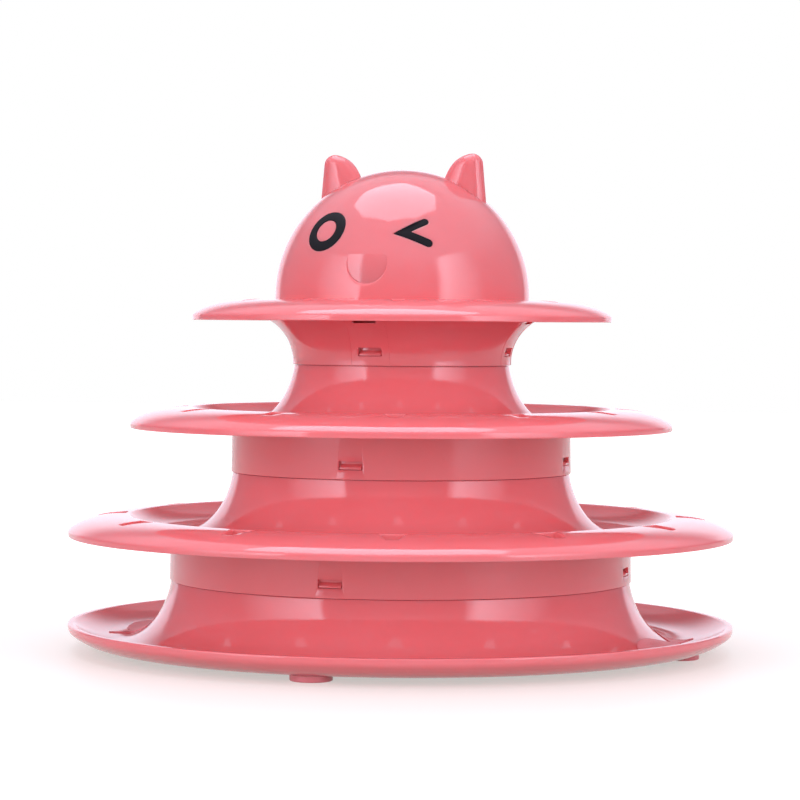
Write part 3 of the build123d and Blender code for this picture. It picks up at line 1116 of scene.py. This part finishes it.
def make_foot(name, middle):
    outline = Outline()
    outline.line((0, 0))
    outline.corner((foot_radius, 0), foot_round)
    outline.line((foot_radius, foot_height), (spigot_radius, foot_height))
    outline.line((spigot_radius, foot_height + spigot_height), (0, foot_height + spigot_height))
    return turned(name, outline.closed(), middle)


def make_ball(name, tier):
    """Ball of two halves, with the fine groove where they are welded."""
    outline = Outline()
    groove = degrees(ball_seam / ball_radius)
    outline.arc((0, 0), (ball_radius, ball_radius), -90, 90 - groove, dome_steps)
    outline.line((ball_radius - ball_seam, 0))
    outline.arc((0, 0), (ball_radius, ball_radius), groove, 90 - groove, dome_steps)
    out = facing(ball_azimuth)[0]
    reach = neck_radius(tier) + flare_run + land_width * ball_land_share
    middle = out * reach + Vector((0, 0, floor_height(tier) + ball_gap + ball_radius))
    return turned(name, outline.closed(), middle)


# Finishes

def new_material(name):
    material = bpy.data.materials.new(name)
    material.use_nodes = True
    tree = material.node_tree
    return material, tree, tree.nodes["Principled BSDF"]


def feed(tree, socket, item):
    """Set a socket to a value, or link it to another socket."""
    if isinstance(item, bpy.types.NodeSocket):
        tree.links.new(item, socket)
    else:
        socket.default_value = item


def add_node(tree, kind, **inputs):
    """New shader node with these values or links in its inputs."""
    node = tree.nodes.new("ShaderNode" + kind)
    for name, item in inputs.items():
        feed(tree, node.inputs[name], item)
    return node


def add_noise(tree, scale, detail):
    """Noise in the object's own coordinates; the scale is in features per metre."""
    place = add_node(tree, "TexCoord").outputs["Object"]
    return add_node(tree, "TexNoise", Scale=scale, Detail=detail, Vector=place).outputs["Fac"]


def spread(tree, value, edges, results, kind="LINEAR"):
    """Change from one result to the other while the value goes from one edge to the other."""
    node = add_node(tree, "MapRange")
    node.interpolation_type = kind
    names = ("From Min", "From Max", "To Min", "To Max")
    for name, item in zip(names, (*edges, *results)):
        feed(tree, node.inputs[name], item)
    tree.links.new(value, node.inputs["Value"])
    return node.outputs["Result"]


def smooth_step(tree, value, edges, results):
    return spread(tree, value, edges, results, "SMOOTHSTEP")


def blended(tree, share, colour, other):
    """One colour that turns into another as the share goes from 0 to 1."""
    mix = add_node(tree, "Mix")
    mix.data_type = "RGBA"
    mix.inputs["A"].default_value = (*colour, 1)
    mix.inputs["B"].default_value = (*other, 1)
    tree.links.new(share, mix.inputs["Factor"])
    return mix.outputs["Result"]


def moulded(name):
    """Moulded plastic: cloudy colour, uneven gloss and a faint orange peel."""
    colour, tint, roughness, peel = finishes[name]
    material, tree, shader = new_material(name)
    cloud = spread(tree, add_noise(tree, *colour_noise), noise_range, (0, 1))
    gloss = spread(tree, add_noise(tree, *gloss_noise), noise_range, roughness)
    tree.links.new(blended(tree, cloud, colour, tint), shader.inputs["Base Color"])
    tree.links.new(gloss, shader.inputs["Roughness"])
    bump = add_node(tree, "Bump", Strength=peel, Distance=peel_depth, Height=add_noise(tree, *peel_noise))
    tree.links.new(bump.outputs["Normal"], shader.inputs["Normal"])
    return material, shader


def make_pink():
    material, shader = moulded("pink_plastic")
    shader.inputs["IOR"].default_value = pink_index
    shader.inputs["Subsurface Weight"].default_value = pink_scatter
    shader.inputs["Subsurface Radius"].default_value = pink_scatter_radius
    shader.inputs["Subsurface Scale"].default_value = pink_scatter_depth
    return material


def make_black():
    material, shader = moulded("black_inlay")
    shader.inputs["Specular IOR Level"].default_value = black_specular
    return material


def dress(piece, material, node, body):
    """Give a piece its finish and body, and let it stand for its CAD node if it has one."""
    piece.data.materials.clear()
    piece.data.materials.append(material)
    piece.data.shade_smooth()
    piece.data.set_sharp_from_angle(angle=sharp_angle)
    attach(piece, body)
    if node:
        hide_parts(node)


# Pieces

pink = make_pink()
black = make_black()
dress(make_tray(), pink, "base_tray", "tower")
dress(make_tier("lower_disc", 1, floor_height(2) - wall), pink, "lower_tier", "tower")
neck_stop = seam_height(2) + neck_stop_height
dress(make_tier("middle_disc", 2, neck_stop), pink, "middle_tier", "tower")
dress(make_top(), pink, "top_tier", "tower")
dress(make_head(), pink, "head_shell", "tower")
dress(make_open_eye(), black, "eye_ring", "tower")
dress(make_wink(), black, "eye_wink", "tower")
matte_pink = moulded("matte_pink")[0]
for index, azimuth in enumerate(fish_azimuths):
    dress(make_fish(f"fish_relief_{index + 1}", azimuth), matte_pink, None, "tower")
# The feet's finish is paler partly through painted light, which stands in for the light they miss under the
# tray
pads_painted_light = moulded("pink_pad_painted_light")[0]
for node, middle in foot_places().items():
    dress(make_foot(node.replace("foot", "foot_pad"), middle), pads_painted_light, node, "tower")
ball_plastic = moulded("ball_plastic")[0]
for tier, place in enumerate(("lower", "middle", "upper")):
    ball = make_ball("ball_shell_" + place, tier)
    dress(ball, ball_plastic, "ball_" + place, place + "_ball")


# Studio: everything is placed by its direction from the camera's side of the tower

to_camera, to_right = facing(camera_azimuth)


def studio_place(azimuth, elevation, distance):
    """Point this far from the tower's middle; azimuth 0 is the camera's side and 90 its right."""
    turn = radians(azimuth)
    level = radians(elevation)
    flat = (to_camera * cos(turn) + to_right * sin(turn)) * cos(level)
    return Vector((0, 0, studio_middle)) + (flat + Vector((0, 0, sin(level)))) * distance


def by_ray(tree, kind, value, otherwise):
    """One value for this kind of ray and another for the rest; both may be numbers or sockets."""
    path = add_node(tree, "LightPath")
    return add_node(tree, "Mix", Factor=path.outputs[kind], A=otherwise, B=value).outputs["Result"]


def add_lamp(name, corners, colour, gloss, light):
    """Flat panel between (place, brightness) corners, with its own glow in reflections and as light."""
    bm = bmesh.new()
    shares = bm.verts.layers.float.new("share")
    made = []
    for place, share in corners:
        made.append(bm.verts.new(place))
        made[-1][shares] = share
    bm.faces.new(made)
    lamp = to_object(bm, name)
    material, tree, shader = new_material(name + "_cloth")
    tree.nodes.remove(shader)
    share = add_node(tree, "Attribute")
    share.attribute_name = "share"
    strength = add_node(tree, "Math")
    strength.operation = "MULTIPLY"
    tree.links.new(share.outputs["Fac"], strength.inputs[0])
    tree.links.new(by_ray(tree, "Is Glossy Ray", gloss, light), strength.inputs[1])
    emission = add_node(tree, "Emission", Color=(*colour, 1), Strength=strength.outputs["Value"])
    tree.links.new(emission.outputs["Emission"], tree.nodes["Material Output"].inputs["Surface"])
    lamp.data.materials.append(material)
    lamp.visible_camera = False


def add_octabox():
    """Eight-sided softbox above the head."""
    middle = Vector((0, 0, head_middle + head_radius + octabox_height))
    corners = [(middle + (to_right * x - to_camera * y) * octabox_height, 1) for x, y in octabox_corners]
    add_lamp("octabox", corners, octabox_colour, octabox_gloss, octabox_light)


def add_softbox(name, inner, outer, elevations, soft):
    """Upright softbox over this window of directions, with a soft inner edge and a slow fade outwards."""
    low, high = elevations
    half = soft / 2 if outer > inner else -soft / 2
    columns = ((inner - half, 0), (inner + half, 1), (outer, side_edge))
    for number, (one, two) in enumerate(zip(columns, columns[1:])):
        places = ((one, low), (two, low), (two, high), (one, high))
        corners = []
        for (azimuth, share), level in places:
            corners.append((studio_place(azimuth, level, box_distance), share))
        add_lamp(f"{name}_{number + 1}", corners, side_colour, side_gloss, side_light)


def add_floor():
    """White table top that keeps the tower's shadow and fades out to pure white; its warm grey colour and
    the warm tint of its glow near the tower are painted bounce light from the pink plastic.
    """
    bm = bmesh.new()
    bmesh.ops.create_grid(bm, x_segments=1, y_segments=1, size=floor_size)
    table = to_object(bm, "table_top")
    material, tree, shader = new_material("white_table")
    # The warm cast of this grey is painted bounce light from the tower
    shader.inputs["Base Color"].default_value = (*floor_grey_and_painted_bounce, 1)
    shader.inputs["Roughness"].default_value = floor_roughness
    place = add_node(tree, "TexCoord")
    reach = add_node(tree, "VectorMath")
    reach.operation = "LENGTH"
    tree.links.new(place.outputs["Object"], reach.inputs[0])
    seen = smooth_step(tree, reach.outputs["Value"], floor_fade, (floor_glow, 1))
    fade = smooth_step(tree, reach.outputs["Value"], floor_fade, (0, 1))
    strength = by_ray(tree, "Is Camera Ray", seen, by_ray(tree, "Is Glossy Ray", floor_glow, 0))
    # Painted bounce light: the glow is tinted warm near the tower and turns white further out
    tree.links.new(blended(tree, fade, floor_painted_warm_glow, white), shader.inputs["Emission Color"])
    tree.links.new(strength, shader.inputs["Emission Strength"])
    table.data.materials.append(material)


def make_world():
    """White for the camera, a pale wall behind the tower in reflections, and a soft light all round."""
    world = bpy.data.worlds.new("studio")
    bpy.context.scene.world = world
    world.use_nodes = True
    tree = world.node_tree
    shader = tree.nodes["Background"]
    place = add_node(tree, "TexCoord")
    tint = blended(tree, by_ray(tree, "Is Glossy Ray", 1, 0), white, room_colour)
    tree.links.new(tint, shader.inputs["Color"])

    def along(direction):
        node = add_node(tree, "VectorMath")
        node.operation = "DOT_PRODUCT"
        node.inputs[1].default_value = direction
        tree.links.new(place.outputs["Generated"], node.inputs[0])
        return node.outputs["Value"]

    height = along((0, 0, 1))
    room = smooth_step(tree, height, room_edge, room_glow)
    backdrop = smooth_step(tree, height, wall_top, (wall_glow, room_glow[0]))
    mirrored = smooth_step(tree, along(-to_camera), wall_edge, (room, backdrop))
    front = smooth_step(tree, height, fill_top, (fill_light[1], fill_light[0]))
    fill = smooth_step(tree, along(to_camera), fill_edge, (fill_light[0], front))
    strength = by_ray(tree, "Is Camera Ray", 1, by_ray(tree, "Is Glossy Ray", mirrored, fill))
    tree.links.new(strength, shader.inputs["Strength"])


def add_camera():
    data = bpy.data.cameras.new("camera")
    data.lens = camera_lens
    data.sensor_width = camera_sensor
    data.sensor_fit = "HORIZONTAL"
    camera = bpy.data.objects.new("camera", data)
    ahead = Matrix.Rotation(radians(camera_yaw), 3, "Z") @ -to_camera
    right = ahead.cross(Vector((0, 0, 1)))
    pitch = radians(camera_pitch)
    roll = radians(camera_roll)
    forward = ahead * cos(pitch) - Vector((0, 0, 1)) * sin(pitch)
    up = ahead * sin(pitch) + Vector((0, 0, 1)) * cos(pitch)
    axes = (right * cos(roll) + up * sin(roll), up * cos(roll) - right * sin(roll), -forward)
    turn = Matrix(axes).transposed().to_4x4()
    place = to_camera * camera_distance + Vector((0, 0, camera_height))
    camera.matrix_world = Matrix.Translation(place) @ turn
    bpy.context.scene.collection.objects.link(camera)
    bpy.context.scene.camera = camera


add_floor()
make_world()
add_octabox()
for side_box in side_boxes:
    add_softbox(*side_box)
add_camera()
bpy.context.scene.view_settings.view_transform = "Standard"
